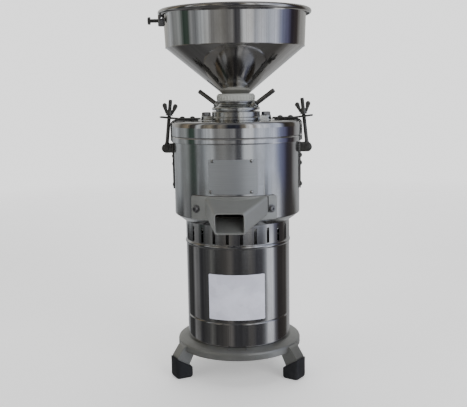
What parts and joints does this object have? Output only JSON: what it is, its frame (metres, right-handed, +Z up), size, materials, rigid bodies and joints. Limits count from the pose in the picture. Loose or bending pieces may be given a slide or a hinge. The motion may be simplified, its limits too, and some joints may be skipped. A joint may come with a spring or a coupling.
{
  "type": "nut butter grinder",
  "caption": "Upright bench grinder: steel hopper over a drum with grinding discs, a spout, a motor in a slotted casing, on a rubber-footed tripod base.",
  "frame": {"origin": "on the bench top, under the vertical shaft axis", "axes": "+Z up along the shaft, -Y towards the spout at the front, +X to the machine's left, the right of the picture"},
  "size_m": [0.3256, 0.3181, 0.7295],
  "materials": {
    "polished_steel": "mirror polished",
    "bright_metal": "machined, bright",
    "cast_aluminium": "as cast, grey",
    "capacitor_can": "drawn can, satin",
    "plain_steel": "machined",
    "dark_steel": "dark, lightly worn",
    "laminations": "stacked sheet",
    "copper": "enamelled wire",
    "stone": "bonded grit",
    "black_rubber": "matt",
    "seal_rubber": "smooth",
    "white_plastic": "moulded, satin",
    "label_film": "semi-gloss film",
    "black_plastic": "moulded"
  },
  "bodies": {
    "housing": {"base_casting": "cast_aluminium", "rubber_foot_right": "black_rubber", "rubber_foot_left": "black_rubber", "rubber_foot_rear": "black_rubber", "motor_casing": "polished_steel", "stator_core": "laminations", "winding_upper": "copper", "winding_lower": "copper", "upper_end_shield": "cast_aluminium", "lower_end_shield": "cast_aluminium", "upper_bearing": "plain_steel", "lower_bearing": "plain_steel", "run_capacitor": "capacitor_can", "grinding_drum": "polished_steel", "chamber_bowl": "cast_aluminium", "shaft_seal": "seal_rubber", "discharge_spout": "cast_aluminium", "spout_gasket": "seal_rubber", "spout_screw_left": "plain_steel", "spout_screw_right": "plain_steel", "nameplate": "bright_metal", "casing_label": "label_film", "chamber_cover": "polished_steel", "cover_gasket": "seal_rubber", "cover_hub": "bright_metal", "hub_screw_right": "plain_steel", "hub_screw_left": "plain_steel", "cover_strap_right": "dark_steel", "cover_strap_left": "dark_steel", "hinge_bracket_right": "dark_steel", "hinge_bracket_left": "dark_steel", "hinge_pin_right": "dark_steel", "hinge_pin_left": "dark_steel", "switch_housing": "black_plastic", "cable_gland": "black_plastic"},
    "rotor": {"motor_shaft": "plain_steel", "rotor_core": "laminations", "cooling_fan": "black_plastic", "impeller": "plain_steel", "rotating_disc": "stone", "shaft_nut": "plain_steel"},
    "feed": {"feed_sleeve": "plain_steel", "fixed_disc": "stone"},
    "collar": {"adjusting_collar": "bright_metal", "adjuster_rod_right": "plain_steel", "adjuster_rod_left": "plain_steel"},
    "hopper_unit": {"hopper": "polished_steel", "clamp_bracket": "plain_steel", "clamp_bolt": "plain_steel"},
    "ring": {"ring_nut": "white_plastic"},
    "rocker": {"switch_rocker": "black_plastic"},
    "bolt_right": {"swing_bolt_right": "dark_steel"},
    "washer_body_right": {"washer_right": "plain_steel"},
    "nut_right": {"wing_nut_right": "dark_steel"},
    "bolt_left": {"swing_bolt_left": "dark_steel"},
    "washer_body_left": {"washer_left": "plain_steel"},
    "nut_left": {"wing_nut_left": "dark_steel"}
  },
  "joints": [
    {"name": "rotor_spin", "type": "hinge", "parent": "housing", "child": "rotor", "pos_m": [0, 0, 0.3], "axis": [0, 0, 1], "continuous": true},
    {"name": "sleeve_lift", "type": "slide", "parent": "housing", "child": "feed", "axis": [0, 0, 1], "range_m": [0, 0.00225]},
    {"name": "collar_turn", "type": "hinge", "parent": "feed", "child": "collar", "pos_m": [0, 0, 0.542], "axis": [0, 0, 1], "range_deg": [-1, 272]},
    {"name": "hopper_lift", "type": "slide", "parent": "feed", "child": "hopper_unit", "axis": [0, 0, 1], "range_m": [0, 0.06]},
    {"name": "ring_nut_turn", "type": "hinge", "parent": "hopper_unit", "child": "ring", "pos_m": [0, 0, 0.56], "axis": [0, 0, 1], "range_deg": [0, 1800]},
    {"name": "switch_rock", "type": "hinge", "parent": "housing", "child": "rocker", "pos_m": [0, 0.10675, 0.2193], "axis": [1, 0, 0], "range_deg": [-16, 0]},
    {"name": "bolt_swing_right", "type": "hinge", "parent": "housing", "child": "bolt_right", "pos_m": [0.1425, 0, 0.4596], "axis": [0, 1, 0], "range_deg": [0, 150]},
    {"name": "washer_slide_right", "type": "slide", "parent": "bolt_right", "child": "washer_body_right", "axis": [-0.1063, 0, 0.9943], "range_m": [-0.0025, 0.0075]},
    {"name": "wing_nut_turn_right", "type": "hinge", "parent": "washer_body_right", "child": "nut_right", "pos_m": [0.1425, 0, 0.4596], "axis": [-0.1063, 0, 0.9943], "range_deg": [-725, 2165]},
    {"name": "bolt_swing_left", "type": "hinge", "parent": "housing", "child": "bolt_left", "pos_m": [-0.1425, 0, 0.4596], "axis": [0, -1, 0], "range_deg": [0, 150]},
    {"name": "washer_slide_left", "type": "slide", "parent": "bolt_left", "child": "washer_body_left", "axis": [0.1063, 0, 0.9943], "range_m": [-0.0025, 0.0075]},
    {"name": "wing_nut_turn_left", "type": "hinge", "parent": "washer_body_left", "child": "nut_left", "pos_m": [-0.1425, 0, 0.4596], "axis": [0.1063, 0, 0.9943], "range_deg": [-725, 2165]}
  ],
  "couplings": [
    {"joint": "collar_turn", "follows": "sleeve_lift", "rad_per_m": 2094.4},
    {"joint": "wing_nut_turn_right", "follows": "washer_slide_right", "rad_per_m": 5026.5},
    {"joint": "wing_nut_turn_left", "follows": "washer_slide_left", "rad_per_m": 5026.5}
  ]
}
